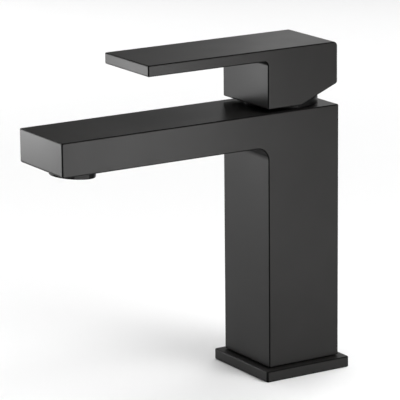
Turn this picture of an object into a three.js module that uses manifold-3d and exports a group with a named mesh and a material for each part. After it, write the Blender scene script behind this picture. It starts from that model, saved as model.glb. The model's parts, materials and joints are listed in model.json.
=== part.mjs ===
// Single-lever basin mixer tap with a square column, a flat spout and a flat lever handle.
// Millimetres, +Z up. The origin is on the column's axis at the level of the deck.
// The spout points to -Y, hot is on the -X side and cold is on the +X side.

import * as THREE from 'three';
import { mergeVertices } from 'three/addons/utils/BufferGeometryUtils.js';
import Module from 'manifold-3d';

const wasm = await Module();
wasm.setup();

// ---- driving dimensions ----

const FIT = 0.3; // clearance between pieces that are cut by, or turned with, each other
const PAST = 1; // how far a cutting tool runs past the surface that it opens
const FINE = 48; // sides of the large round pieces
const MEDIUM = 32;
const COARSE = 20;
const SECTION_SIDES = 6; // round the section of an O-ring
const SLOT_STEPS = 8; // straight steps along a curved slot
const ROUND_STEPS = 4; // straight steps in each rounded corner
const EDGE_STEPS = 2; // straight steps in each rounded edge
const WELD = 1e-4; // points closer than this are one
const SEAL_GAP = 0.15; // between an O-ring and the floor of its groove

const PLATE = { side: 51, height: 5.8, cornerRadius: 1.4, edge: 0.7, holeRadius: 17 };
const PLATE_GROOVE = { inner: 19, outer: 22.4, depth: 2.1 }; // in the underside, for the base gasket
const SEAL_GROOVE = { inner: 17.9, outer: 20, floor: 4.5 }; // in the top, for the column seal
const COLUMN_SEAL = { section: 0.8 };

const BODY = { side: 42.8, bottom: 6.2, top: 140, edge: 0.7, cornerRadius: 1 };
const SPOUT = { tip: -140.7, thickness: 17.4, fillet: 7, tipRadius: 1.3 };
const RECESS = { radius: 16.8, top: 28 }; // in the column's base, for the four brass tubes brazed inside
const LOCATOR = { inner: 15.5, outer: 16.7 }; // the tube that centres the column in the base plate
const CHANNEL = { front: -136.5, back: -29, halfWidth: 17.4, bottom: 126.6, top: 137 };
const CHAMBER = { radius: 17.8, floor: 110, nutRadius: 18.6, nutFloor: 133 };
// The riser leads from the chamber's front up a slope, between two knees, to the spout's channel.
const RISER = { halfWidth: 7, back: -15.2, front: -19.2, bottom: 112, slopeStart: 118.5, top: 126 };
const RISER_KNEE = { lower: -24.6, upper: -25.5 };
const INLET = { x: 7.5, y: -6, waterway: 3.75, threadRadius: 4.6, tubeRadius: 5.7 };
const STUD = { y: 10.5, threadRadius: 3.6, tubeRadius: 4.9 };
const STUD_RIB = { halfWidth: 2, front: -2.5, rear: 6.3 }; // from the column's axis into the tube's wall
const PEG = { x: 11.5, y: 6, radius: 1.8, length: 1.7 };

const PIVOT = 139; // height of the spindle's rocking axis
const BALL = { height: 128.6, radius: 2.6, sides: 20, bands: 12 };

const BASE = { radius: 17.3, bottom: 110.3, top: 117, portRadius: 3.4 };
const OUTLET = { y: 4.5, halfWidth: 3, bottom: 112.4, top: 116 };
const INLET_SEAL = { radius: 5.1, section: 0.85, recess: 1.4 };
const DISC_GASKET = { radius: 12.5, top: 118 };
const FIXED_DISC = { radius: 15.2, top: 121.2, portInner: 6.8, portOuter: 11.2 };
const PORT_ANGLES = { hot: [198, 248], cold: [292, 342] }; // degrees from +X
const MOVING_DISC = { radius: 10.4, top: 124.2, pocketRadius: 8.8, pocketEdge: -1.5, pocketDepth: 1.8 };
const COUPLER = { radius: 10.6, top: 127.9, socketHalf: 3.1, socketFloor: 125.6 };
const TONGUE = { halfWidth: 6, halfLength: 7.5, top: 130.1 };
const LUG = { x: 9.3, width: 1.8, length: 3, depth: 1.6 }; // carries the moving disc round
const CARRIER = { flangeRadius: 14.2, bottom: 128.9, shoulder: 132, hubRadius: 10.5, top: 144.6 };
const SLOT = { halfWidth: 4.6, halfLength: 7.5, bottom: 130.4 };
const SHELL = { radius: 17.3, bottom: 117.3, shoulder: 134, neckRadius: 13.4, top: 145.4 };
const SHELL_BORE = { disc: 15.6, flange: 14.8, neck: 10.9, step: 128.4, ceiling: 132.3 };
const SHELL_SEAL = { height: 130.4, section: 0.65, grooveFloor: 16.2, grooveHalf: 0.8 };
const NUT = { threadRadius: 18.2, shoulder: 139.4, capRadius: 17.1, capTop: 142.4, bore: 13.9 };
const NUT_HEX = { acrossFlats: 28, top: 145 };
const COLLAR = { radius: 18.9, straight: 143.2, round: 4, wall: 1.3, hole: 12 };
const COLLAR_SEAL = { height: 141.3, section: 0.6, grooveFloor: 16.2, grooveHalf: 0.7 };
const SPINDLE = { half: 4, bottom: 134, top: 163, neckRadius: 1.9, pinHole: 1.8 };
const PIN = { radius: 1.5, length: 20.4 };

const HANDLE = { width: 42.4, top: 172.6, blade: 5.8, tip: -91.5, rear: 20.7, edge: 0.7 };
const HANDLE_ROUND = { tipTop: 1, tipUnder: 1.2, blockFront: 0.8, chamfer: 3, rearBottom: 2, rearTop: 2.8 };
const BLOCK = { front: -21.5, bottom: 142.07, rearBottom: 151.1, chamferEnd: -1.5, fillet: 2.5 };
const CAVITY = { halfWidth: 19.6, front: -20, rear: 19.1 }; // hollow under the handle's block
const BOSS = { half: 7.5, bottom: 153, ribHalf: 5, ribBottom: 155 };
const SCREW = { height: 159, radius: 2.4, end: 15.5, point: 0.8, keyFlats: 2.5, keyDepth: 2.5 };
const PLUG = { radius: 3.4, start: 18.9, chamfer: 0.3 };

const AERATOR = { y: -123.3, z: 117.8, tilt: THREE.MathUtils.degToRad(5.8) }; // centre of its lower face
const FLANGE = { radius: 11.65, height: 6, edge: 0.4 };
const WRENCH_FLATS = { across: 22, height: 5, angle: -5 }; // on the flange, turned from +X in degrees
const THREAD = { radius: 10.95, top: 11.5, bore: 9.7, lip: 8.9, lipTop: 1.6 };
const INSERT = { radius: 9.3, bottom: 1.9, top: 10.6, wall: 1, floor: 1.7, deck: 1.8 };
const INSERT_SLOT = { count: 12, inner: 2.6, outer: 7.6, halfWidth: 0.6 };
const REGULATOR = { inner: 4.5, outer: 6.4, bottom: 9.7, height: 0.8, sideGap: 0.5 };
const METERING_HOLE = { count: 8, radius: 0.8, sides: 12 }; // under the regulator's ring
const SCREEN = { bottom: 10.9, top: 11.5, hole: 1.3, pitch: 2.7, meshRadius: 7.6 };
const WASHER = { inner: 9, bottom: 11.8, top: 13 };
const SEAT = { radius: 12, boreRadius: 11.3, throat: 9.2, bossRadius: 14.2, bossTop: 15, throatTop: 17.4 };

// ---- materials ----

function material(color, roughness, metalness) {
  return new THREE.MeshStandardMaterial({ color, roughness, metalness });
}

const satinBlack = material(0x1c1b1a, 0.35, 0.3);
const brass = material(0xb5913f, 0.35, 1);
const steel = material(0xb9bbbd, 0.3, 1);
const rubber = material(0x141414, 0.8, 0);
const ceramic = material(0xe9e4d8, 0.25, 0);
const whitePlastic = material(0xdedcd4, 0.5, 0);
const greyPlastic = material(0x5a5d60, 0.5, 0);

// ---- shape helpers ----

// A closed solid for joining and cutting, with only its shared positions.
function toSolid(geometry) {
  const bare = geometry.clone();
  bare.deleteAttribute('normal');
  bare.deleteAttribute('uv');
  const merged = mergeVertices(bare, WELD);
  const vertProperties = new Float32Array(merged.attributes.position.array);
  const triVerts = new Uint32Array(merged.index.array);
  return new wasm.Manifold(new wasm.Mesh({ numProp: 3, vertProperties, triVerts }));
}

function toGeometry(solid) {
  const { vertProperties, triVerts } = solid.getMesh();
  const geometry = new THREE.BufferGeometry();
  geometry.setAttribute('position', new THREE.BufferAttribute(vertProperties, 3));
  geometry.setIndex(new THREE.BufferAttribute(triVerts, 1));
  geometry.computeVertexNormals();
  return geometry;
}

function join(...geometries) {
  return toGeometry(geometries.map(toSolid).reduce((sum, solid) => sum.add(solid)));
}

function cut(geometry, ...tools) {
  return toGeometry(tools.map(toSolid).reduce((rest, tool) => rest.subtract(tool), toSolid(geometry)));
}

function common(first, second) {
  return toGeometry(toSolid(first).intersect(toSolid(second)));
}

// A box between two opposite corners.
function block(low, high) {
  const size = high.map((value, i) => value - low[i]);
  const centre = high.map((value, i) => (value + low[i]) / 2);
  return new THREE.BoxGeometry(...size).translate(...centre);
}

// A solid of revolution about +Z. The [radius, height] points run anticlockwise.
function turned(points, sides = MEDIUM) {
  const profile = points.map(([radius, height]) => new THREE.Vector2(radius, height));
  return new THREE.LatheGeometry(profile, sides).rotateX(Math.PI / 2);
}

function rod(radius, bottom, top, sides = COARSE) {
  return turned([[0, bottom], [radius, bottom], [radius, top], [0, top]], sides);
}

function ring(inner, outer, bottom, top, sides = MEDIUM) {
  return turned([[inner, bottom], [outer, bottom], [outer, top], [inner, top], [inner, bottom]], sides);
}

// A rod along +X or +Y, centred at the given height.
function crossRod(radius, from, to, height, axis) {
  const shape = rod(radius, from, to);
  if (axis === 'x') shape.rotateY(Math.PI / 2);
  else shape.rotateX(-Math.PI / 2);
  return shape.translate(0, 0, height);
}

// An O-ring: a round section turned about +Z.
function oRing(radius, section, height, sides = MEDIUM) {
  return new THREE.TorusGeometry(radius, section, SECTION_SIDES, sides).translate(0, 0, height);
}

// A prism about +Z with six sides.
function hexPrism(acrossFlats, bottom, top) {
  return rod(acrossFlats / 2 / Math.cos(Math.PI / 6), bottom, top, 6);
}

// An outline through [u, v, radius] corners. Each corner is a round of its own radius.
function roundedOutline(corners) {
  const shape = new THREE.Shape();
  corners.forEach(([u, v, radius], i) => {
    const corner = new THREE.Vector2(u, v);
    const before = new THREE.Vector2(...corners.at(i - 1)).sub(corner).normalize();
    const after = new THREE.Vector2(...corners[(i + 1) % corners.length]).sub(corner).normalize();
    const half = Math.acos(before.dot(after)) / 2;
    const reach = radius / Math.tan(half);
    const pull = (4 / 3) * Math.tan((Math.PI / 2 - half) / 2) * radius;
    const start = corner.clone().addScaledVector(before, reach);
    const end = corner.clone().addScaledVector(after, reach);
    const startPull = corner.clone().addScaledVector(before, reach - pull);
    const endPull = corner.clone().addScaledVector(after, reach - pull);
    if (i === 0) shape.moveTo(start.x, start.y);
    else shape.lineTo(start.x, start.y);
    shape.bezierCurveTo(startPull.x, startPull.y, endPull.x, endPull.y, end.x, end.y);
  });
  shape.closePath();
  return shape;
}

// An outline made thick along +Z from zero, with the edges round both of its faces rounded.
function slab(shape, thickness, edge) {
  return new THREE.ExtrudeGeometry(shape, {
    depth: thickness - 2 * edge,
    curveSegments: ROUND_STEPS,
    bevelSize: edge,
    bevelThickness: edge,
    bevelOffset: -edge,
    bevelSegments: EDGE_STEPS,
  }).translate(0, 0, edge);
}

// Turns a slab's outline from the plane of X and Y into the plane of Y and Z.
const ACROSS_X = new THREE.Matrix4().makeBasis(
  new THREE.Vector3(0, 1, 0), new THREE.Vector3(0, 0, 1), new THREE.Vector3(1, 0, 0),
);

// An outline in the plane of Y and Z, made wide along X, with its long edges rounded.
function roundedAcross(shape, width, edge) {
  return slab(shape, width, edge).translate(0, 0, -width / 2).applyMatrix4(ACROSS_X);
}

// A flat-sided prism across X from [y, z] points.
function prismAcross(points, halfWidth) {
  const shape = new THREE.Shape(points.map(([y, z]) => new THREE.Vector2(y, z)));
  const geometry = new THREE.ExtrudeGeometry(shape, { depth: 2 * halfWidth, bevelEnabled: false });
  return geometry.translate(0, 0, -halfWidth).applyMatrix4(ACROSS_X);
}

// Points of a quarter round from [radius, height] about a centre, for a turned profile.
function quarterRound(centreRadius, centreHeight, round, from, to, steps = ROUND_STEPS) {
  return Array.from({ length: steps + 1 }, (_, i) => {
    const angle = THREE.MathUtils.degToRad(from + ((to - from) * i) / steps);
    return [centreRadius + round * Math.cos(angle), centreHeight + round * Math.sin(angle)];
  });
}

// Copies of one shape for the hot (-X) and the cold (+X) side.
function bothSides(make) {
  return [-1, 1].map((side) => make(side));
}

// ---- the model ----

const faucet = new THREE.Group();
const aerator = new THREE.Group();
aerator.position.set(0, AERATOR.y, AERATOR.z);
aerator.rotation.x = -AERATOR.tilt;
faucet.add(aerator);

function addPart(name, geometry, finish, parent = faucet) {
  const mesh = new THREE.Mesh(geometry, finish);
  mesh.name = name;
  parent.add(mesh);
}

// Moves a shape made about the aerator's own axis to its place in the spout.
function inSpout(geometry) {
  return geometry.rotateX(-AERATOR.tilt).translate(0, AERATOR.y, AERATOR.z);
}

// ---- body and base ----

function bodyOutline() {
  const half = BODY.side / 2;
  const spoutUnderside = BODY.top - SPOUT.thickness;
  return roundedOutline([
    [half, BODY.bottom, BODY.cornerRadius],
    [half, BODY.top, BODY.cornerRadius],
    [SPOUT.tip, BODY.top, BODY.cornerRadius],
    [SPOUT.tip, spoutUnderside, SPOUT.tipRadius],
    [-half, spoutUnderside, SPOUT.fillet],
    [-half, BODY.bottom, BODY.cornerRadius],
  ]);
}

function spoutChannel() {
  const low = [-CHANNEL.halfWidth, CHANNEL.front, CHANNEL.bottom];
  const high = [CHANNEL.halfWidth, CHANNEL.back, CHANNEL.top];
  return cut(block(low, high), inSpout(rod(SEAT.bossRadius, 0, SEAT.bossTop, MEDIUM)));
}

// The way up from the cartridge chamber's front to the spout's channel.
function riser() {
  const slope = prismAcross([
    [RISER.back, RISER.slopeStart],
    [-CHAMBER.radius + PAST, RISER.slopeStart],
    [RISER_KNEE.lower, CHANNEL.bottom],
    [CHANNEL.back - PAST, CHANNEL.bottom],
    [CHANNEL.back - PAST, CHANNEL.top],
    [RISER_KNEE.upper, CHANNEL.top],
    [RISER.back, RISER.top],
  ], RISER.halfWidth);
  const low = [-RISER.halfWidth, RISER.front, RISER.bottom];
  const high = [RISER.halfWidth, RISER.back, RISER.top];
  return join(slope, block(low, high));
}

function aeratorSeat() {
  return inSpout(turned([
    [0, -PAST], [SEAT.radius, -PAST], [SEAT.radius, FLANGE.height + FIT],
    [SEAT.boreRadius, FLANGE.height + FIT], [SEAT.boreRadius, WASHER.top + FIT],
    [SEAT.throat, WASHER.top + FIT], [SEAT.throat, SEAT.throatTop], [0, SEAT.throatTop],
  ]));
}

function cartridgeChamber() {
  return turned([
    [0, CHAMBER.floor], [CHAMBER.radius, CHAMBER.floor], [CHAMBER.radius, CHAMBER.nutFloor],
    [CHAMBER.nutRadius, CHAMBER.nutFloor], [CHAMBER.nutRadius, BODY.top + PAST], [0, BODY.top + PAST],
  ], FINE);
}

function inletWaterway(side) {
  const straight = rod(INLET.waterway, RECESS.top - PAST, CHAMBER.floor + PAST);
  return straight.translate(side * INLET.x, INLET.y, 0);
}

function pegHole(side) {
  const hole = rod(PEG.radius + FIT, BASE.bottom - PEG.length - FIT, CHAMBER.floor + PAST);
  return hole.translate(side * PEG.x, PEG.y, 0);
}

function body() {
  const outside = roundedAcross(bodyOutline(), BODY.side, BODY.edge);
  const recess = rod(RECESS.radius, BODY.bottom - PAST, RECESS.top, FINE);
  return cut(
    outside, recess, cartridgeChamber(), riser(), spoutChannel(), aeratorSeat(),
    ...bothSides(inletWaterway), ...bothSides(pegHole),
  );
}

function locator() {
  return ring(LOCATOR.inner, LOCATOR.outer, 0, RECESS.top, FINE);
}

// A tube that a hose's end screws into.
function inletTube(side) {
  return ring(INLET.threadRadius, INLET.tubeRadius, 0, RECESS.top, COARSE)
    .translate(side * INLET.x, INLET.y, 0);
}

// The tube that the fixing stud screws into.
function studTube() {
  const tube = ring(STUD.threadRadius, STUD.tubeRadius, 0, RECESS.top, COARSE)
    .translate(0, STUD.y, 0);
  const rib = block(
    [-STUD_RIB.halfWidth, STUD_RIB.front, 0],
    [STUD_RIB.halfWidth, STUD_RIB.rear, RECESS.top],
  );
  return join(tube, rib);
}

function basePlate() {
  const half = PLATE.side / 2;
  const corners = [[half, -half], [half, half], [-half, half], [-half, -half]];
  const outline = roundedOutline(corners.map(([x, y]) => [x, y, PLATE.cornerRadius]));
  return cut(
    slab(outline, PLATE.height, PLATE.edge),
    rod(PLATE.holeRadius, -PAST, PLATE.height + PAST, FINE),
    ring(PLATE_GROOVE.inner, PLATE_GROOVE.outer, -PAST, PLATE_GROOVE.depth, FINE),
    ring(SEAL_GROOVE.inner, SEAL_GROOVE.outer, SEAL_GROOVE.floor, PLATE.height + PAST, FINE),
  );
}

function baseGasket() {
  const inner = PLATE_GROOVE.inner + FIT;
  const outer = PLATE_GROOVE.outer - FIT;
  const step = PLATE_GROOVE.depth / 4;
  return turned([
    [inner + step, 0], [outer - step, 0], [outer, step], [outer, PLATE_GROOVE.depth],
    [inner, PLATE_GROOVE.depth], [inner, step], [inner + step, 0],
  ], FINE);
}

function columnSeal() {
  const radius = (SEAL_GROOVE.inner + SEAL_GROOVE.outer) / 2;
  return oRing(radius, COLUMN_SEAL.section, BODY.bottom - COLUMN_SEAL.section, FINE);
}

// ---- cartridge ----

function cartridgeBase() {
  const peg = (side) => rod(PEG.radius, BASE.bottom - PEG.length, BASE.bottom + PAST)
    .translate(side * PEG.x, PEG.y, 0);
  const port = (side) => rod(BASE.portRadius, BASE.bottom - PAST, BASE.top + PAST)
    .translate(side * INLET.x, INLET.y, 0);
  const recessRadius = INLET_SEAL.radius + INLET_SEAL.section + FIT;
  const recess = (side) => rod(recessRadius, BASE.bottom - PAST, CHAMBER.floor + INLET_SEAL.recess + FIT)
    .translate(side * INLET.x, INLET.y, 0);
  const outletPort = rod(OUTLET.halfWidth, OUTLET.bottom, BASE.top + PAST).translate(0, OUTLET.y, 0);
  const outletWay = block(
    [-OUTLET.halfWidth, -BASE.radius - PAST, OUTLET.bottom],
    [OUTLET.halfWidth, OUTLET.y, OUTLET.top],
  );
  return cut(
    join(rod(BASE.radius, BASE.bottom, BASE.top, MEDIUM), ...bothSides(peg)),
    ...bothSides(port), ...bothSides(recess), outletPort, outletWay,
  );
}

function inletSeal(side) {
  const { radius, section } = INLET_SEAL;
  return oRing(radius, section, CHAMBER.floor + section, COARSE).translate(side * INLET.x, INLET.y, 0);
}

function discGasket() {
  const hole = (x, y) => rod(BASE.portRadius + FIT, BASE.top - PAST, DISC_GASKET.top + PAST)
    .translate(x, y, 0);
  return cut(
    rod(DISC_GASKET.radius, BASE.top, DISC_GASKET.top, MEDIUM),
    hole(-INLET.x, INLET.y), hole(INLET.x, INLET.y), hole(0, OUTLET.y),
  );
}

// A curved slot between two radii and two angles, from one height to another.
function curvedSlot(inner, outer, [from, to], bottom, top) {
  const start = THREE.MathUtils.degToRad(from);
  const end = THREE.MathUtils.degToRad(to);
  const shape = new THREE.Shape();
  shape.absarc(0, 0, outer, start, end, false);
  shape.absarc(0, 0, inner, end, start, true);
  shape.closePath();
  const depth = top - bottom;
  return new THREE.ExtrudeGeometry(shape, { depth, curveSegments: SLOT_STEPS, bevelEnabled: false })
    .translate(0, 0, bottom);
}

function fixedDisc() {
  const { radius, top, portInner, portOuter } = FIXED_DISC;
  const port = (angles) => curvedSlot(portInner, portOuter, angles, DISC_GASKET.top - PAST, top + PAST);
  const outlet = rod(BASE.portRadius, DISC_GASKET.top - PAST, top + PAST).translate(0, OUTLET.y, 0);
  return cut(
    rod(radius, DISC_GASKET.top, top, MEDIUM), port(PORT_ANGLES.hot), port(PORT_ANGLES.cold), outlet,
  );
}

function lug(side, gap) {
  const halfLength = LUG.length / 2 + gap;
  const ends = [side * (LUG.x - LUG.width / 2 - gap), side * (COUPLER.radius + PAST)];
  return block(
    [Math.min(...ends), -halfLength, MOVING_DISC.top - LUG.depth - gap],
    [Math.max(...ends), halfLength, MOVING_DISC.top + PAST],
  );
}

function movingDisc() {
  const { radius, top, pocketRadius, pocketEdge, pocketDepth } = MOVING_DISC;
  const floor = FIXED_DISC.top - PAST;
  const ceiling = FIXED_DISC.top + pocketDepth;
  const half = block([-radius, pocketEdge, floor], [radius, radius, ceiling]);
  const pocket = common(rod(pocketRadius, floor, ceiling, MEDIUM), half);
  const notches = bothSides((side) => lug(side, FIT));
  return cut(rod(radius, FIXED_DISC.top, top, MEDIUM), pocket, ...notches);
}

function discCarrier() {
  const disc = rod(COUPLER.radius, MOVING_DISC.top, COUPLER.top, MEDIUM);
  const reach = rod(COUPLER.radius, MOVING_DISC.top - LUG.depth, COUPLER.top, MEDIUM);
  const lugs = bothSides((side) => common(reach, lug(side, 0)));
  const tongue = block(
    [-TONGUE.halfWidth, -TONGUE.halfLength, COUPLER.top - PAST],
    [TONGUE.halfWidth, TONGUE.halfLength, TONGUE.top],
  );
  const half = COUPLER.socketHalf;
  const socket = block([-half, -half, COUPLER.socketFloor], [half, half, TONGUE.top + PAST]);
  return cut(join(disc, tongue, ...lugs), socket);
}

function spindleCarrier() {
  const { flangeRadius, bottom, shoulder, hubRadius, top } = CARRIER;
  const outside = turned([
    [0, bottom], [flangeRadius, bottom], [flangeRadius, shoulder], [hubRadius, shoulder],
    [hubRadius, top], [0, top],
  ]);
  const grooveHalf = TONGUE.halfWidth + FIT;
  const groove = block(
    [-grooveHalf, -flangeRadius - PAST, bottom - PAST],
    [grooveHalf, flangeRadius + PAST, TONGUE.top + FIT],
  );
  const slot = block(
    [-SLOT.halfWidth, -SLOT.halfLength, bottom - PAST],
    [SLOT.halfWidth, SLOT.halfLength, top + PAST],
  );
  const pinHole = crossRod(SPINDLE.pinHole, -flangeRadius, flangeRadius, PIVOT, 'x');
  return cut(outside, groove, slot, pinHole);
}

function spindle() {
  const { half, bottom, top, neckRadius, pinHole } = SPINDLE;
  const ball = new THREE.SphereGeometry(BALL.radius, BALL.sides, BALL.bands).translate(0, 0, BALL.height);
  const solid = join(
    block([-half, -half, bottom], [half, half, top]), rod(neckRadius, BALL.height, bottom + PAST), ball,
  );
  return cut(solid, crossRod(pinHole, -half - PAST, half + PAST, PIVOT, 'x'));
}

function cartridgeHousing() {
  const { radius, bottom, shoulder, neckRadius, top } = SHELL;
  const { grooveFloor, grooveHalf, height } = SHELL_SEAL;
  return turned([
    [SHELL_BORE.disc, bottom], [radius, bottom], [radius, height - grooveHalf],
    [grooveFloor, height - grooveHalf], [grooveFloor, height + grooveHalf],
    [radius, height + grooveHalf], [radius, shoulder], [neckRadius, shoulder], [neckRadius, top],
    [SHELL_BORE.neck, top], [SHELL_BORE.neck, SHELL_BORE.ceiling],
    [SHELL_BORE.flange, SHELL_BORE.ceiling], [SHELL_BORE.flange, SHELL_BORE.step],
    [SHELL_BORE.disc, SHELL_BORE.step], [SHELL_BORE.disc, bottom],
  ]);
}

function cartridgeNut() {
  const { threadRadius, shoulder, capRadius, capTop, bore } = NUT;
  const { grooveFloor, grooveHalf, height } = COLLAR_SEAL;
  const outside = turned([
    [0, SHELL.shoulder], [threadRadius, SHELL.shoulder], [threadRadius, shoulder], [capRadius, shoulder],
    [capRadius, height - grooveHalf], [grooveFloor, height - grooveHalf],
    [grooveFloor, height + grooveHalf], [capRadius, height + grooveHalf], [capRadius, capTop],
    [0, capTop],
  ]);
  const hex = hexPrism(NUT_HEX.acrossFlats, capTop - PAST, NUT_HEX.top);
  return cut(join(outside, hex), rod(bore, SHELL.shoulder - PAST, NUT_HEX.top + PAST, MEDIUM));
}

function collar() {
  const { radius, straight, round, wall, hole } = COLLAR;
  const outer = quarterRound(radius - round, straight, round, 0, 90);
  const inner = quarterRound(radius - round, straight, round - wall, 90, 0);
  return turned([
    [radius - wall, BODY.top], [radius, BODY.top], ...outer, [hole, straight + round],
    [hole, straight + round - wall], ...inner, [radius - wall, BODY.top],
  ], FINE);
}

function sealInGroove({ grooveFloor, section, height }) {
  return oRing(grooveFloor + section + SEAL_GAP, section, height);
}

// ---- handle ----

function handleOutline() {
  const underBlade = HANDLE.top - HANDLE.blade;
  return roundedOutline([
    [HANDLE.tip, HANDLE.top, HANDLE_ROUND.tipTop],
    [HANDLE.tip, underBlade, HANDLE_ROUND.tipUnder],
    [BLOCK.front, underBlade, BLOCK.fillet],
    [BLOCK.front, BLOCK.bottom, HANDLE_ROUND.blockFront],
    [BLOCK.chamferEnd, BLOCK.bottom, HANDLE_ROUND.chamfer],
    [HANDLE.rear, BLOCK.rearBottom, HANDLE_ROUND.rearBottom],
    [HANDLE.rear, HANDLE.top, HANDLE_ROUND.rearTop],
  ]);
}

function handle() {
  const ceiling = HANDLE.top - HANDLE.blade;
  const cavity = block(
    [-CAVITY.halfWidth, CAVITY.front, BLOCK.bottom - PAST],
    [CAVITY.halfWidth, CAVITY.rear, ceiling],
  );
  const boss = block([-BOSS.half, -BOSS.half, BOSS.bottom], [BOSS.half, BOSS.half, ceiling + PAST]);
  const rib = block(
    [-BOSS.ribHalf, 0, BOSS.ribBottom],
    [BOSS.ribHalf, CAVITY.rear + PAST / 2, ceiling + PAST],
  );
  const socketHalf = SPINDLE.half + FIT;
  const socket = block(
    [-socketHalf, -socketHalf, BOSS.bottom - PAST],
    [socketHalf, socketHalf, SPINDLE.top + FIT],
  );
  const shell = cut(roundedAcross(handleOutline(), HANDLE.width, HANDLE.edge), cavity);
  return cut(
    join(shell, boss, rib), socket,
    crossRod(SCREW.radius + FIT, 0, HANDLE.rear + PAST, SCREW.height, 'y'),
    crossRod(PLUG.radius + FIT, PLUG.start, HANDLE.rear + PAST, SCREW.height, 'y'),
  );
}

// A grub screw lying along Y, its point against the spindle and its key socket at the rear.
function handleScrew() {
  const { radius, end, point, keyFlats, keyDepth, height } = SCREW;
  const length = end - SPINDLE.half;
  const screw = turned([
    [0, 0], [radius - point, 0], [radius, point], [radius, length], [0, length],
  ], COARSE);
  const key = hexPrism(keyFlats, length - keyDepth, length + PAST);
  return cut(screw, key).rotateX(-Math.PI / 2).translate(0, SPINDLE.half, height);
}

function handlePlug() {
  const { radius, start, chamfer } = PLUG;
  const length = HANDLE.rear - start;
  const plug = turned([
    [0, 0], [radius, 0], [radius, length - chamfer], [radius - chamfer, length], [0, length],
  ], COARSE);
  return plug.rotateX(-Math.PI / 2).translate(0, start, SCREW.height);
}

// ---- aerator, about its own axis with its lower face at zero ----

function aeratorHousing() {
  const { radius, height, edge } = FLANGE;
  const outside = turned([
    [THREAD.lip, 0], [radius - edge, 0], [radius, edge], [radius, height], [THREAD.radius, height],
    [THREAD.radius, THREAD.top], [THREAD.bore, THREAD.top], [THREAD.bore, THREAD.lipTop],
    [THREAD.lip, THREAD.lipTop], [THREAD.lip, 0],
  ], FINE);
  const flats = bothSides((side) => {
    const ends = [side * WRENCH_FLATS.across / 2, side * (radius + PAST)];
    return block([Math.min(...ends), -radius, -PAST], [Math.max(...ends), radius, WRENCH_FLATS.height])
      .rotateZ(THREE.MathUtils.degToRad(WRENCH_FLATS.angle));
  });
  return cut(outside, ...flats);
}

function aeratorInsert() {
  const { radius, bottom, top, wall, floor, deck } = INSERT;
  const cavity = rod(radius - wall, bottom + floor, top - deck, MEDIUM);
  const groove = ring(
    REGULATOR.inner - REGULATOR.sideGap, REGULATOR.outer + REGULATOR.sideGap,
    REGULATOR.bottom - FIT, top + PAST,
  );
  const around = (count, make) => Array.from({ length: count }, (_, i) => (
    make().rotateZ((i * 2 * Math.PI) / count)
  ));
  const slot = () => block(
    [INSERT_SLOT.inner, -INSERT_SLOT.halfWidth, bottom - PAST],
    [INSERT_SLOT.outer, INSERT_SLOT.halfWidth, bottom + floor + PAST],
  );
  const holeAt = (REGULATOR.inner + REGULATOR.outer) / 2;
  const hole = () => rod(METERING_HOLE.radius, top - deck - PAST, top, METERING_HOLE.sides)
    .translate(holeAt, 0, 0);
  return cut(
    rod(radius, bottom, top, MEDIUM), cavity, groove,
    ...around(INSERT_SLOT.count, slot), ...around(METERING_HOLE.count, hole),
  );
}

function flowRegulator() {
  const { inner, outer, bottom, height } = REGULATOR;
  return ring(inner, outer, bottom, bottom + height);
}

function aeratorScreen() {
  const { bottom, top, hole, pitch, meshRadius } = SCREEN;
  const holes = [];
  const reach = Math.floor(meshRadius / pitch);
  for (let i = -reach; i <= reach; i += 1) {
    for (let j = -reach; j <= reach; j += 1) {
      const square = block([-hole / 2, -hole / 2, bottom - PAST], [hole / 2, hole / 2, top + PAST]);
      if (Math.hypot(i, j) * pitch <= meshRadius) holes.push(square.translate(i * pitch, j * pitch, 0));
    }
  }
  return cut(rod(INSERT.radius, bottom, top, MEDIUM), ...holes);
}

function aeratorGasket() {
  return ring(WASHER.inner, THREAD.radius, WASHER.bottom, WASHER.top);
}

// ---- assembly ----

addPart('body', body(), satinBlack);
addPart('locator', locator(), brass);
addPart('inlet_tube_hot', inletTube(-1), brass);
addPart('inlet_tube_cold', inletTube(1), brass);
addPart('stud_tube', studTube(), brass);
addPart('base_plate', basePlate(), satinBlack);
addPart('base_gasket', baseGasket(), rubber);
addPart('column_seal', columnSeal(), rubber);

addPart('cartridge_base', cartridgeBase(), greyPlastic);
addPart('inlet_seal_hot', inletSeal(-1), rubber);
addPart('inlet_seal_cold', inletSeal(1), rubber);
addPart('disc_gasket', discGasket(), rubber);
addPart('fixed_disc', fixedDisc(), ceramic);
addPart('moving_disc', movingDisc(), ceramic);
addPart('disc_carrier', discCarrier(), greyPlastic);
addPart('spindle_carrier', spindleCarrier(), whitePlastic);
addPart('spindle', spindle(), brass);
addPart('spindle_pin', crossRod(PIN.radius, -PIN.length / 2, PIN.length / 2, PIVOT, 'x'), steel);
addPart('cartridge_housing', cartridgeHousing(), whitePlastic);
addPart('housing_seal', sealInGroove(SHELL_SEAL), rubber);
addPart('cartridge_nut', cartridgeNut(), brass);
addPart('collar', collar(), satinBlack);
addPart('collar_seal', sealInGroove(COLLAR_SEAL), rubber);

addPart('handle', handle(), satinBlack);
addPart('handle_screw', handleScrew(), steel);
addPart('handle_plug', handlePlug(), greyPlastic);

addPart('aerator_housing', aeratorHousing(), satinBlack, aerator);
addPart('aerator_insert', aeratorInsert(), greyPlastic, aerator);
addPart('flow_regulator', flowRegulator(), rubber, aerator);
addPart('aerator_screen', aeratorScreen(), steel, aerator);
addPart('aerator_gasket', aeratorGasket(), rubber, aerator);

export default faucet;
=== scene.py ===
"""A square basin mixer tap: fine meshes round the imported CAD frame, materials, studio and camera.

Metres, +Z up, the origin on the column's axis at the deck, the spout along -Y. Hot is on the -X side.
"""

import json
import math

import bmesh
import bpy
from mathutils import Matrix, Vector

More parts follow.
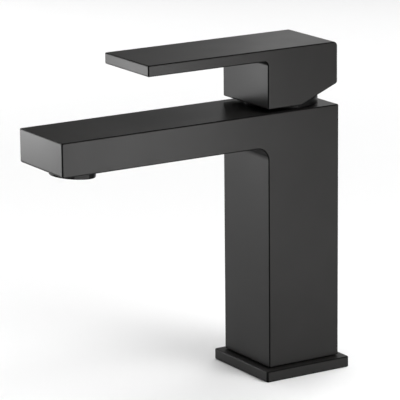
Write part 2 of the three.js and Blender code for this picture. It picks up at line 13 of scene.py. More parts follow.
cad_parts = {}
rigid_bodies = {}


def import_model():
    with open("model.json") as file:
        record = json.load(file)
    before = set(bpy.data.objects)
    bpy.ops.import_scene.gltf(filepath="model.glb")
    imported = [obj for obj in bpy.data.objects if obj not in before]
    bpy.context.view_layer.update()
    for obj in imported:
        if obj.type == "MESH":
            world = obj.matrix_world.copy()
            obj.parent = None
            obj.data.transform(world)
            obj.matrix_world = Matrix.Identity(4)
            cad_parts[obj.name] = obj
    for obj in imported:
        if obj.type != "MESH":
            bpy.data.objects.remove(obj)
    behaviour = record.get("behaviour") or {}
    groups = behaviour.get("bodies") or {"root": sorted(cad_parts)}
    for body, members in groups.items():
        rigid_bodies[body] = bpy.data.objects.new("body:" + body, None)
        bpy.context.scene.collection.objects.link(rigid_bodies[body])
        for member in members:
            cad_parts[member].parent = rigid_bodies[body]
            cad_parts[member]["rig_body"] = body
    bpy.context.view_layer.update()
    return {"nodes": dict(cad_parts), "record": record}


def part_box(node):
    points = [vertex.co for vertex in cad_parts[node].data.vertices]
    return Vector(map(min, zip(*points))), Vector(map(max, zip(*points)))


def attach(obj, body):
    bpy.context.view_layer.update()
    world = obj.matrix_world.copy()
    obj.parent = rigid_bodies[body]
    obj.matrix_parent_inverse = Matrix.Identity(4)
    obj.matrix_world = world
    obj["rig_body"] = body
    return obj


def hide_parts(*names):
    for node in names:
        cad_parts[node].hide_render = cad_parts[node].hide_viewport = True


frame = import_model()

MM = 0.001
TAU = 2 * math.pi

# ---- sizes, in millimetres, that the frame's boxes don't give ----

EDGE = 0.7  # round on the painted pieces' edges
PAST = 1.0  # how far a cutting solid runs past the surface that it opens
GAP = 0.3  # clearance between pieces that fit into each other

# Facets in a full turn, and steps in a round corner.
FACETS = {"rim": 160, "wall": 128, "turned": 96, "bore": 64, "waterway": 48, "peg": 32, "drilling": 24}
STEPS = {"body": 12, "cap": 10, "handle": 10, "plate": 6, "ring": 5}

SPOUT = {"thickness": 17.4, "tip_round": 1.2, "fillet": 7.0}
CHAMBER = {"radius": 17.8, "floor": 110.0, "nut_radius": 18.6, "nut_floor": 133.0, "nut_lead": 0.6}
RISER = {"half": 7.0, "back": -15.2, "front": -19.2, "bottom": 112.0, "slope": 121.0, "top": 126.0}
RISER_KNEE = {"lower": -24.6, "upper": -25.5}
CHANNEL = {"front": -136.5, "back": -29.0, "half": 17.4, "bottom": 126.6, "top": 137.0}
RECESS_RADIUS = 16.8
LOCATOR = {"inner": 15.5, "outer": 16.7}
INLET = {"x": 7.5, "y": -6.0, "waterway": 3.75, "thread": 4.6, "outer": 5.7}
STUD = {"y": 10.5, "thread": 3.6, "outer": 4.9}
STUD_RIB = {"half": 2.0, "front": -2.5, "rear": 6.3}
TUBE_EDGE = 0.35
PEG = {"x": 11.5, "y": 6.0, "radius": 2.1, "floor": 108.3}

PLATE = {"corner": 1.2, "hole": 17.0}
PLATE_GROOVE = {"inner": 19.0, "outer": 22.4, "depth": 2.1}
SEAL_GROOVE = {"inner": 17.9, "outer": 20.0, "floor": 4.5}
GASKET_EDGE = 0.5
COLLAR = {"wall": 1.3, "round": 4.0, "hole": 12.0}
COLLAR_EDGE = {"under_hole": 0.3, "inner_foot": 0.2, "foot": 0.3, "hole": 0.4}

BLADE = 5.8
BLOCK = {"front": -21.5, "chamfer_end": -1.5, "rear_bottom": 151.1, "fillet": 2.5}
HANDLE_ROUND = {"chamfer": 3.0, "rear_bottom": 1.6, "rear_top": 2.4}
CAVITY = {"half": 19.6, "front": -20.0, "rear": 19.1}
BOSS = {"half": 7.5, "bottom": 153.0, "rib_half": 5.0, "rib_bottom": 155.0}
SOCKET = {"half": 4.3, "top": 163.3}
SCREW = {"height": 159.0, "hole": 2.7}
PLUG = {"radius": 3.4, "start": 18.9, "edge": 0.3, "dimple": 1.6, "dimple_depth": 0.3}

AERATOR = {"y": -123.3, "z": 117.8, "tilt": math.radians(5.8)}  # the centre of its lower face
SEAT = {"radius": 12.0, "floor": 6.3, "bore": 11.3, "shelf": 13.3, "throat": 9.2, "top": 17.4}
SEAT_BOSS = {"radius": 14.2, "top": 15.0}
RING = {"radius": 11.65, "height": 6.0, "thread": 10.95, "bore": 9.7, "top": 11.5}
RING_LIP = {"inner": 8.9, "top": 1.6}
RING_EDGE = {"lip": 0.2, "foot": 0.5, "shoulder": 0.3, "thread": 0.3, "bore": 0.2}
FLATS = {"half": 11.0, "reach": 13.0, "height": 5.0, "angle": math.radians(-5)}
INSERT = {"radius": 9.3, "bottom": 1.9, "top": 10.6, "inside": 8.3, "floor": 3.6, "deck": 8.8}
INSERT_SLOT = {"count": 12, "inner": 2.6, "outer": 7.6, "half": 0.6}
REGULATOR_GROOVE = {"inner": 4.0, "outer": 6.9, "floor": 9.4}
METERING_HOLE = {"count": 8, "at": 5.45, "radius": 0.8}


def box_mm(node):
    """A CAD node's lowest and highest corners, in millimetres."""
    low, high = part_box(node)
    return low / MM, high / MM


# ---- outlines ----


def rounded(corners, steps=8):
    """Points of an outline through (u, v, radius) corners, each a true arc."""
    path = []
    for i, (u, v, radius) in enumerate(corners):
        corner = Vector((u, v))
        before = (Vector(corners[i - 1][:2]) - corner).normalized()
        after = (Vector(corners[(i + 1) % len(corners)][:2]) - corner).normalized()
        if radius == 0:
            path.append(corner)
            continue
        half = before.angle(after) / 2
        centre = corner + (before + after).normalized() * radius / math.sin(half)
        spoke = corner + before * radius / math.tan(half) - centre
        sweep = spoke.angle_signed(corner + after * radius / math.tan(half) - centre)
        path += [centre + Matrix.Rotation(-sweep * k / steps, 2) @ spoke for k in range(steps + 1)]
    return path


def rectangle(half_u, low_v, high_v, radius=0.0):
    return [
        (half_u, low_v, radius),
        (half_u, high_v, radius),
        (-half_u, high_v, radius),
        (-half_u, low_v, radius),
    ]


# ---- solids, in millimetres, as bmeshes ----


def prism(outline, low, high, axis="z"):
    """An outline carried along an axis. Across x it lies in y and z, across y in z and x."""
    place = {
        "x": lambda u, v, w: (w, u, v),
        "y": lambda u, v, w: (v, w, u),
        "z": lambda u, v, w: (u, v, w),
    }[axis]
    bm = bmesh.new()
    near, far = ([bm.verts.new(place(u, v, w)) for u, v in outline] for w in (low, high))
    bm.faces.new(reversed(near))
    bm.faces.new(far)
    count = len(near)
    for i in range(count):
        j = (i + 1) % count
        bm.faces.new((near[i], near[j], far[j], far[i]))
    return outward(bm)


def box(low, high):
    corners = [(low[0], low[1]), (high[0], low[1]), (high[0], high[1]), (low[0], high[1])]
    return prism(corners, low[2], high[2])


def lathe(profile, sides=FACETS["turned"]):
    """A solid of revolution about z from (radius, height) points."""
    bm = bmesh.new()
    rings = []
    for radius, height in profile:
        count = 1 if radius == 0 else sides
        turns = [TAU * i / sides for i in range(count)]
        rings.append([bm.verts.new((radius * math.cos(a), radius * math.sin(a), height)) for a in turns])
    closed = rings[0] != rings[-1] and (len(rings[0]) > 1 or len(rings[-1]) > 1)
    pairs = list(zip(rings, rings[1:])) + ([(rings[-1], rings[0])] if closed else [])
    for lower, upper in pairs:
        for i in range(sides):
            j = (i + 1) % sides
            face = [lower[i % len(lower)], lower[j % len(lower)]]
            face += [upper[j % len(upper)], upper[i % len(upper)]]
            face = list(dict.fromkeys(face))
            if len(face) > 2:
                bm.faces.new(face)
    return outward(bm)


def rod(radius, low, high, sides=FACETS["bore"]):
    return lathe([(0, low), (radius, low), (radius, high), (0, high)], sides)


def tube(inner, outer, low, high, sides=FACETS["wall"]):
    return lathe([(inner, low), (outer, low), (outer, high), (inner, high)], sides)


def outward(bm):
    bmesh.ops.recalc_face_normals(bm, faces=bm.faces)
    return bm


def moved(bm, x=0.0, y=0.0, z=0.0, turn=None):
    """The same solid turned by a matrix and then shifted."""
    bmesh.ops.transform(bm, matrix=Matrix.Translation((x, y, z)) @ (turn or Matrix()), verts=bm.verts)
    return bm


def in_spout(bm):
    """Takes a solid from the aerator's own axis to its place under the spout."""
    return moved(bm, 0, AERATOR["y"], AERATOR["z"], Matrix.Rotation(-AERATOR["tilt"], 4, "X"))


def along_y(bm):
    """Lays a solid made about z along y, at the handle screw's height."""
    return moved(bm, 0, 0, SCREW["height"], Matrix.Rotation(-math.pi / 2, 4, "X"))


def both_sides(make):
    return [make(-1), make(1)]


# ---- turning solids into pieces ----


def stand_in(bm):
    mesh = bpy.data.meshes.new("working")
    bm.to_mesh(mesh)
    bm.free()
    obj = bpy.data.objects.new("working", mesh)
    bpy.context.scene.collection.objects.link(obj)
    return obj


def apply_modifiers(obj):
    bpy.context.view_layer.update()
    done = bpy.data.meshes.new_from_object(obj.evaluated_get(bpy.context.evaluated_depsgraph_get()))
    obj.modifiers.clear()
    obj.data = done


def boolean(obj, operation, tools):
    for tool in tools:
        other = stand_in(tool)
        change = obj.modifiers.new("cut", "BOOLEAN")
        change.operation = operation
        change.solver = "EXACT"
        change.object = other
        apply_modifiers(obj)
        bpy.data.objects.remove(other)


def bevel(obj, width, segments=4, angle=math.radians(35)):
    change = obj.modifiers.new("edge", "BEVEL")
    change.width = width
    change.segments = segments
    change.limit_method = "ANGLE"
    change.angle_limit = angle
    apply_modifiers(obj)


def worked(bm, work):
    """A solid after some work on it as an object, as a bmesh again."""
    obj = stand_in(bm)
    work(obj)
    result = bmesh.new()
    result.from_mesh(obj.data)
    bpy.data.objects.remove(obj)
    return result


def piece(name, node, slot, base, joined=(), cuts=(), edge=0.0, smooth=30, finish=None):
    """Makes one visible piece out of solids, rides it on its CAD node's body and hides the node."""
    obj = stand_in(base)
    if edge:
        bevel(obj, edge)
    boolean(obj, "UNION", joined)
    boolean(obj, "DIFFERENCE", cuts)
    obj.name = obj.data.name = name
    obj.data.transform(Matrix.Scale(MM, 4))
    obj.data.materials.clear()
    obj.data.materials.append(MATERIALS[finish or slot])
    obj.data.shade_smooth()
    obj.data.set_sharp_from_angle(angle=math.radians(smooth))
    obj.modifiers.new("flat_faces", "WEIGHTED_NORMAL").keep_sharp = True
    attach(obj, frame["nodes"][node]["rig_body"])
    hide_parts(node)
    return obj


# ---- materials ----


def new_material(name, roughness, metallic=0.0, **sockets):
    """A procedural material. Extra keywords set constants on the shader's own sockets."""
    material = bpy.data.materials.new(name)
    material.use_nodes = True
    nodes = material.node_tree.nodes
    nodes.clear()
    shader = nodes.new("ShaderNodeBsdfPrincipled")
    output = nodes.new("ShaderNodeOutputMaterial")
    material.node_tree.links.new(shader.outputs["BSDF"], output.inputs["Surface"])
    shader.inputs["Roughness"].default_value = roughness
    shader.inputs["Metallic"].default_value = metallic
    for socket, value in sockets.items():
        shader.inputs[socket.replace("_", " ")].default_value = value
    return material, shader


def noise(material, scale, detail=3.0, stretch=(1, 1, 1)):
    """Noise in object space, with scale in cells per metre."""
    tree = material.node_tree
    place = tree.nodes.new("ShaderNodeTexCoord")
    mapping = tree.nodes.new("ShaderNodeMapping")
    mapping.inputs["Scale"].default_value = stretch
    texture = tree.nodes.new("ShaderNodeTexNoise")
    texture.inputs["Scale"].default_value = scale
    texture.inputs["Detail"].default_value = detail
    tree.links.new(place.outputs["Object"], mapping.inputs["Vector"])
    tree.links.new(mapping.outputs["Vector"], texture.inputs["Vector"])
    return texture.outputs["Fac"]


def spread(material, source, low, high, start=0.3, stop=0.7):
    """Maps a texture's middle values to a range of numbers."""
    node = material.node_tree.nodes.new("ShaderNodeMapRange")
    node.inputs["From Min"].default_value = start
    node.inputs["From Max"].default_value = stop
    node.inputs["To Min"].default_value = low
    node.inputs["To Max"].default_value = high
    material.node_tree.links.new(source, node.inputs["Value"])
    return node.outputs["Result"]


def tint(material, shader, source, dark, light):
    """Varies the base colour between two colours."""
    ramp = material.node_tree.nodes.new("ShaderNodeValToRGB")
    ramp.color_ramp.elements[0].position = 0.35
    ramp.color_ramp.elements[0].color = (*dark, 1)
    ramp.color_ramp.elements[1].position = 0.65
    ramp.color_ramp.elements[1].color = (*light, 1)
    material.node_tree.links.new(source, ramp.inputs["Fac"])
    material.node_tree.links.new(ramp.outputs["Color"], shader.inputs["Base Color"])
    return ramp.outputs["Color"]


def bump(material, shader, source, depth, strength=1.0):
    node = material.node_tree.nodes.new("ShaderNodeBump")
    node.inputs["Distance"].default_value = depth
    node.inputs["Strength"].default_value = strength
    material.node_tree.links.new(source, node.inputs["Height"])
    material.node_tree.links.new(node.outputs["Normal"], shader.inputs["Normal"])


def math_node(material, operation, first, second=None):
    node = material.node_tree.nodes.new("ShaderNodeMath")
    node.operation = operation
    for slot, value in enumerate((first, second)):
        if isinstance(value, (int, float)):
            node.inputs[slot].default_value = value
        elif value is not None:
            material.node_tree.links.new(value, node.inputs[slot])
    return node.outputs[0]


def painted_edge_shade_mask(material):
    """One on rounds along the sides' edges and in corners that face down, zero on flat faces. Where it
    is one, the coat is painted dark: painted shade.
    """

    def oblique(part):
        rise = spread(material, part, 0.0, 1.0, 0.1, 0.35)
        fall = spread(material, part, 1.0, 0.0, 0.93, 0.99)
        return math_node(material, "MULTIPLY", rise, fall)

    tree = material.node_tree
    place = tree.nodes.new("ShaderNodeTexCoord")
    split = tree.nodes.new("ShaderNodeSeparateXYZ")
    tree.links.new(place.outputs["Normal"], split.inputs["Vector"])
    across = oblique(math_node(material, "ABSOLUTE", split.outputs["X"]))
    down = oblique(math_node(material, "MULTIPLY", split.outputs["Z"], -1))
    return math_node(material, "MAXIMUM", across, down)


def shaded_off_the_flats(material):
    """Zero on the aerator ring's two flats and one on the rest of it, which is painted dark: painted
    shade.
    """
    tree = material.node_tree
    place = tree.nodes.new("ShaderNodeTexCoord")
    facing = tree.nodes.new("ShaderNodeVectorMath")
    facing.operation = "DOT_PRODUCT"
    tree.links.new(place.outputs["Normal"], facing.inputs[0])
    across = Vector((math.cos(FLATS["angle"]), math.sin(FLATS["angle"]), 0))
    facing.inputs[1].default_value = Matrix.Rotation(-AERATOR["tilt"], 3, "X") @ across
    square_on = math_node(material, "ABSOLUTE", facing.outputs["Value"])
    return spread(material, square_on, 1.0, 0.0, 0.98, 0.995)


def shade_all_over(material):
    """One everywhere, so the whole collar is painted dark: painted shade."""
    one = material.node_tree.nodes.new("ShaderNodeValue")
    one.outputs["Value"].default_value = 1.0
    return one.outputs["Value"]


SHEEN = 0.18  # the black coat's specular level
PAINTED_EDGE_SHADE_SHEEN = 0.018  # along its edges, lowered there as painted shade
SHADE_PAINT_SHEEN = 0.05  # lowered on the collar, and on the aerator ring off its flats, as painted shade
COAT = {
    "dark": (0.0135, 0.013, 0.0125),
    "light": (0.015, 0.0145, 0.014),
    # the near-black colour put on masked parts: painted shade
    "painted_shade": (0.005, 0.005, 0.005, 1),
}


def satin_black(name, shade_mask_maker, painted_shade):
    """Black powder coat with a faint orange peel, uneven in gloss. Where a mask is one, its sheen is
    lowered and its colour darkened: painted shade.
    """
    material, shader = new_material(name, 0.3, Specular_IOR_Level=SHEEN)
    tree = material.node_tree
    colour = tint(material, shader, noise(material, 45, 1), COAT["dark"], COAT["light"])
    gloss = spread(material, noise(material, 60, 1), 0.295, 0.315)
    tree.links.new(gloss, shader.inputs["Roughness"])
    mask = shade_mask_maker(material)
    sheen = spread(material, mask, SHEEN, painted_shade, 0.0, 1.0)
    tree.links.new(sheen, shader.inputs["Specular IOR Level"])
    mix = tree.nodes.new("ShaderNodeMix")
    mix.data_type = "RGBA"
    tree.links.new(mask, mix.inputs["Factor"])
    tree.links.new(colour, mix.inputs["A"])
    mix.inputs["B"].default_value = COAT["painted_shade"]
    tree.links.new(mix.outputs["Result"], shader.inputs["Base Color"])
    bump(material, shader, noise(material, 420, 1), 0.0000012)
    return material


def metal(name, dark, light, roughness, stretch=(1, 1, 1)):
    """Turned or drawn metal with fine tool marks."""
    material, shader = new_material(name, roughness, 1.0)
    tint(material, shader, noise(material, 250), dark, light)
    marks = noise(material, 900, 2, stretch)
    rough = spread(material, marks, roughness - 0.06, roughness + 0.08)
    material.node_tree.links.new(rough, shader.inputs["Roughness"])
    bump(material, shader, marks, 0.000012)
    return material


def moulded(name, dark, light, roughness, grain=1200, depth=0.000008, **sockets):
    """A moulded or fired material with a faint grain."""
    material, shader = new_material(name, roughness, 0.0, **sockets)
    tint(material, shader, noise(material, 140), dark, light)
    fine = noise(material, grain, 3)
    material.node_tree.links.new(
        spread(material, fine, roughness - 0.05, roughness + 0.07), shader.inputs["Roughness"]
    )
    bump(material, shader, fine, depth)
    return material


MATERIALS = {
    # The coat's edges, the aerator ring off its flats and the whole collar are painted dark: painted
    # shade.
    "black_finish": satin_black("satin_black", painted_edge_shade_mask, PAINTED_EDGE_SHADE_SHEEN),
    "black_ring": satin_black("satin_black_ring_painted_shade", shaded_off_the_flats, SHADE_PAINT_SHEEN),
    "black_collar": satin_black("satin_black_collar_painted_shade", shade_all_over, SHADE_PAINT_SHEEN),
    "brass": metal("brass", (0.60, 0.40, 0.16), (0.72, 0.52, 0.23), 0.28, (1, 1, 12)),
    "steel": metal("steel", (0.55, 0.55, 0.56), (0.66, 0.66, 0.67), 0.25, (1, 1, 12)),
    "rubber": moulded("rubber", (0.012, 0.012, 0.012), (0.022, 0.021, 0.02), 0.62, 900, 0.00001),
    "ceramic": moulded("ceramic", (0.78, 0.74, 0.66), (0.86, 0.83, 0.76), 0.22, 1600, 0.000003),
    "white_plastic": moulded(
        "white_plastic", (0.66, 0.65, 0.60), (0.74, 0.73, 0.69), 0.42, Subsurface_Weight=0.05,
        Subsurface_Scale=0.001,
    ),
    "grey_plastic": moulded("grey_plastic", (0.10, 0.105, 0.11), (0.13, 0.135, 0.14), 0.45),
}

for entry in frame["record"]["subparts"]:
    carried = frame["nodes"][entry["node"]]
    carried.data.materials.clear()
    carried.data.materials.append(MATERIALS[entry["material_slot"]])


# ---- the painted pieces ----


def body_outside():
    """The column and the spout as one outline in y and z, with the fillet in their inner corner."""
    low, high = box_mm("body")
    half = high.x
    underside = high.z - SPOUT["thickness"]
    outline = rounded(
        [
            (half, low.z, 0),
            (half, high.z, 0),
            (low.y, high.z, 0),
            (low.y, underside, SPOUT["tip_round"]),
            (-half, underside, SPOUT["fillet"]),
            (-half, low.z, 0),
        ],
        STEPS["body"],
    )
    return prism(outline, -half, half, "x")


def chamber():
    top = box_mm("body")[1].z
    return lathe(
        [
            (0, CHAMBER["floor"]),
            (CHAMBER["radius"], CHAMBER["floor"]),
            (CHAMBER["radius"], CHAMBER["nut_floor"]),
            (CHAMBER["nut_radius"], CHAMBER["nut_floor"] + CHAMBER["nut_lead"]),
            (CHAMBER["nut_radius"], top + PAST),
            (0, top + PAST),
        ]
    )


def riser():
    """The way up from the chamber's front to the spout's channel."""
    end = CHANNEL["back"] - PAST
    outline = [
        (RISER["back"], RISER["bottom"]),
        (RISER["back"], RISER["top"]),
        (RISER_KNEE["upper"], CHANNEL["top"]),
        (end, CHANNEL["top"]),
        (end, CHANNEL["bottom"]),
        (RISER_KNEE["lower"], CHANNEL["bottom"]),
        (RISER["front"], RISER["slope"]),
        (RISER["front"], RISER["bottom"]),
    ]
    return prism(outline, -RISER["half"], RISER["half"], "x")


def aerator_seat():
    profile = [
        (0, -PAST),
        (SEAT["radius"], -PAST),
        (SEAT["radius"], SEAT["floor"]),
        (SEAT["bore"], SEAT["floor"]),
        (SEAT["bore"], SEAT["shelf"]),
        (SEAT["throat"], SEAT["shelf"]),
        (SEAT["throat"], SEAT["top"]),
        (0, SEAT["top"]),
    ]
    return in_spout(lathe(profile))


def spout_channel():
    """The hollow of the spout, which leaves a boss round the aerator's seat."""
    low = (-CHANNEL["half"], CHANNEL["front"], CHANNEL["bottom"])
    high = (CHANNEL["half"], CHANNEL["back"], CHANNEL["top"])
    boss = in_spout(rod(SEAT_BOSS["radius"], 0, SEAT_BOSS["top"]))
    return worked(box(low, high), lambda obj: boolean(obj, "DIFFERENCE", [boss]))


def make_body():
    low = box_mm("body")[0].z
    recess_top = box_mm("locator")[1].z

    def waterway(side):
        low, high = recess_top - PAST, CHAMBER["floor"] + PAST
        straight = rod(INLET["waterway"], low, high, FACETS["waterway"])
        return moved(straight, side * INLET["x"], INLET["y"])

    def peg_hole(side):
        hole = rod(PEG["radius"], PEG["floor"], CHAMBER["floor"] + PAST, FACETS["peg"])
        return moved(hole, side * PEG["x"], PEG["y"])

    recess = rod(RECESS_RADIUS, low - PAST, recess_top, FACETS["wall"])
    cuts = [chamber(), riser(), spout_channel(), aerator_seat(), recess]
    cuts += [*both_sides(waterway), *both_sides(peg_hole)]
    piece("column_and_spout", "body", "black_finish", body_outside(), cuts=cuts, edge=EDGE)


def make_base_tubes():
    """The locating tube, the hoses' tubes and the stud's ribbed tube, with edges broken."""

    def base_tube(name, node, inner, outer, x=0.0, y=0.0, joined=()):
        low, high = box_mm(node)
        solid = moved(tube(inner, outer, low.z, high.z), x, y)
        piece(name, node, "brass", solid, joined=joined, edge=TUBE_EDGE)

    base_tube("centring_tube", "locator", LOCATOR["inner"], LOCATOR["outer"])
    inlet = (INLET["thread"], INLET["outer"])
    base_tube("hot_tube", "inlet_tube_hot", *inlet, -INLET["x"], INLET["y"])
    base_tube("cold_tube", "inlet_tube_cold", *inlet, INLET["x"], INLET["y"])
    low, high = box_mm("stud_tube")
    half = STUD_RIB["half"]
    rib = box((-half, STUD_RIB["front"], low.z), (half, STUD_RIB["rear"], high.z))
    base_tube("fixing_tube", "stud_tube", STUD["thread"], STUD["outer"], 0, STUD["y"], [rib])


def make_base_plate():
    low, high = box_mm("base_plate")
    outline = rounded(rectangle(high.x, low.y, high.y, PLATE["corner"]), STEPS["plate"])
    cuts = [
        rod(PLATE["hole"], -PAST, high.z + PAST, FACETS["wall"]),
        tube(PLATE_GROOVE["inner"], PLATE_GROOVE["outer"], -PAST, PLATE_GROOVE["depth"]),
        tube(SEAL_GROOVE["inner"], SEAL_GROOVE["outer"], SEAL_GROOVE["floor"], high.z + PAST),
    ]
    plate = prism(outline, low.z, high.z)
    piece("deck_plate", "base_plate", "black_finish", plate, cuts=cuts, edge=EDGE)


def make_base_gasket():
    low, high = box_mm("base_gasket")
    gasket = tube(PLATE_GROOVE["inner"] + GAP, high.x, low.z, high.z)
    piece("deck_gasket", "base_gasket", "rubber", gasket, edge=GASKET_EDGE)


def make_collar():
    low, high = box_mm("collar")
    radius = high.x
    wall = COLLAR["wall"]
    profile = rounded(
        [
            (COLLAR["hole"], high.z - wall, COLLAR_EDGE["under_hole"]),
            (radius - wall, high.z - wall, COLLAR["round"] - wall),
            (radius - wall, low.z, COLLAR_EDGE["inner_foot"]),
            (radius, low.z, COLLAR_EDGE["foot"]),
            (radius, high.z, COLLAR["round"]),
            (COLLAR["hole"], high.z, COLLAR_EDGE["hole"]),
        ],
        STEPS["cap"],
    )
    cap = lathe([tuple(point) for point in profile], FACETS["rim"])
    # The collar is painted dark all over: painted shade.
    piece("collar_cap", "collar", "black_finish", cap, finish="black_collar")


def handle_shell():
    """The blade and the hollow block under it, rounded outside and sharp inside."""
    low, high = box_mm("handle")
    under = high.z - BLADE
    outline = rounded(
        [
            (low.y, high.z, 0),
            (low.y, under, 0),
            (BLOCK["front"], under, BLOCK["fillet"]),
            (BLOCK["front"], low.z, 0),
            (BLOCK["chamfer_end"], low.z, HANDLE_ROUND["chamfer"]),
            (high.y, BLOCK["rear_bottom"], HANDLE_ROUND["rear_bottom"]),
            (high.y, high.z, HANDLE_ROUND["rear_top"]),
        ],
        STEPS["handle"],
    )
    cavity = box(
        (-CAVITY["half"], CAVITY["front"], low.z - PAST),
        (CAVITY["half"], CAVITY["rear"], under),
    )

    def shape(obj):
        bevel(obj, EDGE)
        boolean(obj, "DIFFERENCE", [cavity])

    return worked(prism(outline, -high.x, high.x, "x"), shape)


def make_handle():
    high = box_mm("handle")[1]
    ceiling = high.z - BLADE
    boss = box((-BOSS["half"],) * 2 + (BOSS["bottom"],), (BOSS["half"],) * 2 + (ceiling + PAST,))
    rib = box(
        (-BOSS["rib_half"], 0, BOSS["rib_bottom"]),
        (BOSS["rib_half"], CAVITY["rear"] + PAST / 2, ceiling + PAST),
    )
    socket = box(
        (-SOCKET["half"],) * 2 + (BOSS["bottom"] - PAST,),
        (SOCKET["half"],) * 2 + (SOCKET["top"],),
    )
    screw_hole = along_y(rod(SCREW["hole"], 0, high.y + PAST))
    plug_seat = along_y(rod(PLUG["radius"] + GAP, PLUG["start"], high.y + PAST))
    piece(
        "lever_handle", "handle", "black_finish", handle_shell(), [boss, rib],
        [socket, screw_hole, plug_seat],
    )


def make_handle_plug():
    """The cap over the grub screw, with a shallow dimple to prise it out by."""
    end = box_mm("handle_plug")[1].y
    edge = PLUG["edge"]
    profile = [
        (0, PLUG["start"]),
        (PLUG["radius"], PLUG["start"]),
        (PLUG["radius"], end - edge),
        (PLUG["radius"] - edge, end),
        (PLUG["dimple"], end),
        (PLUG["dimple"] / 2, end - PLUG["dimple_depth"]),
        (0, end - PLUG["dimple_depth"]),
    ]
    piece("screw_cover", "handle_plug", "grey_plastic", along_y(lathe(profile, FACETS["bore"])))


def make_aerator_housing():
    profile = rounded(
        [
            (RING_LIP["inner"], 0, RING_EDGE["lip"]),
            (RING["radius"], 0, RING_EDGE["foot"]),
            (RING["radius"], RING["height"], RING_EDGE["shoulder"]),
            (RING["thread"], RING["height"], 0),
            (RING["thread"], RING["top"], RING_EDGE["thread"]),
            (RING["bore"], RING["top"], RING_EDGE["bore"]),
            (RING["bore"], RING_LIP["top"], 0),
            (RING_LIP["inner"], RING_LIP["top"], 0),
        ],
        STEPS["ring"],
    )
    turn = Matrix.Rotation(FLATS["angle"], 4, "Z")

    def flat(side):
        near, far = sorted((side * FLATS["half"], side * FLATS["reach"]))
        reach = FLATS["reach"]
        return in_spout(moved(box((near, -reach, -PAST), (far, reach, FLATS["height"])), turn=turn))

    ring = lathe([tuple(point) for point in profile], FACETS["rim"])
    # The ring is painted dark off its flats: painted shade.
    piece(
        "aerator_ring", "aerator_housing", "black_finish", in_spout(ring), cuts=both_sides(flat),
        finish="black_ring",
    )


def make_aerator_insert():
    """The plastic cup in the ring: slots below, and metering holes under the regulator's groove."""

    def around(count, make):
        turns = [Matrix.Rotation(TAU * i / count, 4, "Z") for i in range(count)]
        return [in_spout(moved(make(), turn=turn)) for turn in turns]

    def slot():
        low = (INSERT_SLOT["inner"], -INSERT_SLOT["half"], INSERT["bottom"] - PAST)
        return box(low, (INSERT_SLOT["outer"], INSERT_SLOT["half"], INSERT["floor"] + PAST))

    def hole():
        low = INSERT["deck"] - PAST
        straight = rod(METERING_HOLE["radius"], low, INSERT["top"], FACETS["drilling"])
        return moved(straight, METERING_HOLE["at"])

    groove = REGULATOR_GROOVE
    cuts = [
        in_spout(rod(INSERT["inside"], INSERT["floor"], INSERT["deck"])),
        in_spout(tube(groove["inner"], groove["outer"], groove["floor"], INSERT["top"] + PAST)),
        *around(INSERT_SLOT["count"], slot),
        *around(METERING_HOLE["count"], hole),
    ]
    cup = in_spout(rod(INSERT["radius"], INSERT["bottom"], INSERT["top"]))
    piece("aerator_cup", "aerator_insert", "grey_plastic", cup, cuts=cuts)


make_body()
make_base_tubes()
make_base_plate()
make_base_gasket()
make_collar()
make_handle()
make_handle_plug()
make_aerator_housing()
make_aerator_insert()


# ---- studio ----


FLOOR = {"half": 6, "roughness": 0.7, "colour": (0.88, 0.88, 0.88, 1)}


def add_floor():
    """One large pale sheet under the object."""
    bm = bmesh.new()
    bmesh.ops.create_grid(bm, x_segments=1, y_segments=1, size=FLOOR["half"])
    mesh = bpy.data.meshes.new("floor")
    bm.to_mesh(mesh)
    bm.free()
    floor = bpy.data.objects.new("floor", mesh)
    bpy.context.scene.collection.objects.link(floor)
    material, shader = new_material("floor_white", FLOOR["roughness"])
    shader.inputs["Base Color"].default_value = FLOOR["colour"]
    mesh.materials.append(material)


MIDDLE = (0, -0.05, 0.1)  # where a light aims when no target is named


def direction(azimuth, elevation):
    """A unit vector. Azimuth 0 looks from -Y and 90 from +X."""
    a, e = math.radians(azimuth), math.radians(elevation)
    return Vector((math.sin(a) * math.cos(e), -math.cos(a) * math.cos(e), math.sin(e)))


def softbox(name, azimuth, elevation, distance, width, height, power, target=MIDDLE):
    """A rectangular lamp that faces a target from one direction. The camera doesn't see it."""
    light = bpy.data.lights.new(name, "AREA")
    light.shape = "RECTANGLE"
    light.size, light.size_y = width, height
    light.energy = power
    lamp = bpy.data.objects.new(name, light)
    bpy.context.scene.collection.objects.link(lamp)
    away = direction(azimuth, elevation)
    lamp.location = Vector(target) + away * distance
    lamp.rotation_euler = away.to_track_quat("Z", "Y").to_euler()
    lamp.visible_camera = False


def add_world(strength):
    world = bpy.data.worlds.new("studio")
    world.use_nodes = True
    background = world.node_tree.nodes["Background"]
    background.inputs["Color"].default_value = (1, 1, 1, 1)
    background.inputs["Strength"].default_value = strength
    bpy.context.scene.world = world


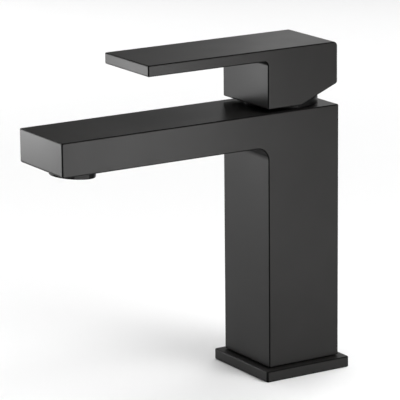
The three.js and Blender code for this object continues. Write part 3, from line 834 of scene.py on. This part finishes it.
# Each light's azimuth, elevation, distance, width, height, power and, where it isn't the middle, target.
SPOUT_UNDER = (0.01, -0.13, 0.05)
SPOUT_SIDE = (0.048, -0.122, 0.085)
HANDLE_TIP = (0, -0.0915, 0.07)
HANDLE_BLOCK = (-0.01, -0.1, 0.13)
WORLD_LIGHT = 0.01
LIGHTS = [
    ("over", 0, 90, 4.0, 5.0, 5.0, 150),
    ("left", -90, 12, 1.3, 0.62, 0.45, 3.7),
    ("back_left", -150, 30, 1.3, 0.62, 0.6, 3.5),
    ("back_right", 135, 52, 1.3, 0.62, 0.6, 1.4),
    ("back_low", -135, 18, 1.3, 0.6, 0.3, 0.12),
    ("back_glow", -122, 14, 0.8, 0.3, 0.2, 0.032, (0, 0.18, 0.165)),
    ("near_glow", -122, 14, 0.5, 0.12, 0.12, 0.012, (0, 0.06, 0.165)),
    ("low_under", -58, 0, 0.42, 0.1, 0.1, 0.11, SPOUT_UNDER),
    ("low_block", -58, 0, 0.42, 0.12, 0.08, 0.18, HANDLE_BLOCK),
    ("low_tip", -58, 0, 0.41, 0.08, 0.05, 0.12, HANDLE_TIP),
    ("low_side", 122, 0, 0.4, 0.12, 0.16, 0.45, SPOUT_SIDE),
    ("floor_right", 0, 90, 0.4, 0.3, 0.3, 2.4, (0.45, 0.15, 0)),
    ("floor_near_right", 0, 90, 0.4, 0.2, 0.2, 0.13, (0.25, 0.05, 0)),
    ("floor_front", 0, 90, 0.5, 0.35, 0.35, 0.33, (-0.15, -0.15, 0)),
    ("floor_left", 0, 90, 0.4, 0.25, 0.25, 0.1, (-0.42, -0.27, 0)),
    ("floor_back", 0, 90, 0.5, 0.35, 0.35, 0.36, (-0.9, 0.55, 0)),
]


def add_lights():
    for settings in LIGHTS:
        softbox(*settings)
    add_world(WORLD_LIGHT)


# ---- camera ----

CAMERA = {"azimuth": 58.11, "elevation": 14.02, "roll": -0.55, "distance": 1.4658}
AIM = {"right": -0.0419, "up": 0.0858}
SENSOR = 36.0
FOCAL_RATIO = 6.975  # a long lens, so the sides stay nearly parallel
FOCAL_LENGTH = SENSOR * FOCAL_RATIO


def add_camera():
    back = direction(CAMERA["azimuth"], CAMERA["elevation"])
    azimuth = math.radians(CAMERA["azimuth"])
    right = Vector((math.cos(azimuth), math.sin(azimuth), 0))
    up = back.cross(right)
    roll = math.radians(CAMERA["roll"])
    rolled_right = right * math.cos(roll) + up * math.sin(roll)
    rolled_up = up * math.cos(roll) - right * math.sin(roll)
    data = bpy.data.cameras.new("camera")
    data.sensor_width = SENSOR
    data.lens = FOCAL_LENGTH
    camera = bpy.data.objects.new("camera", data)
    bpy.context.scene.collection.objects.link(camera)
    place = Matrix((rolled_right, rolled_up, back)).transposed().to_4x4()
    place.translation = back * CAMERA["distance"] + right * AIM["right"] + up * AIM["up"]
    camera.matrix_world = place
    bpy.context.scene.camera = camera


add_floor()
add_lights()
add_camera()
bpy.context.scene.view_settings.view_transform = "Standard"
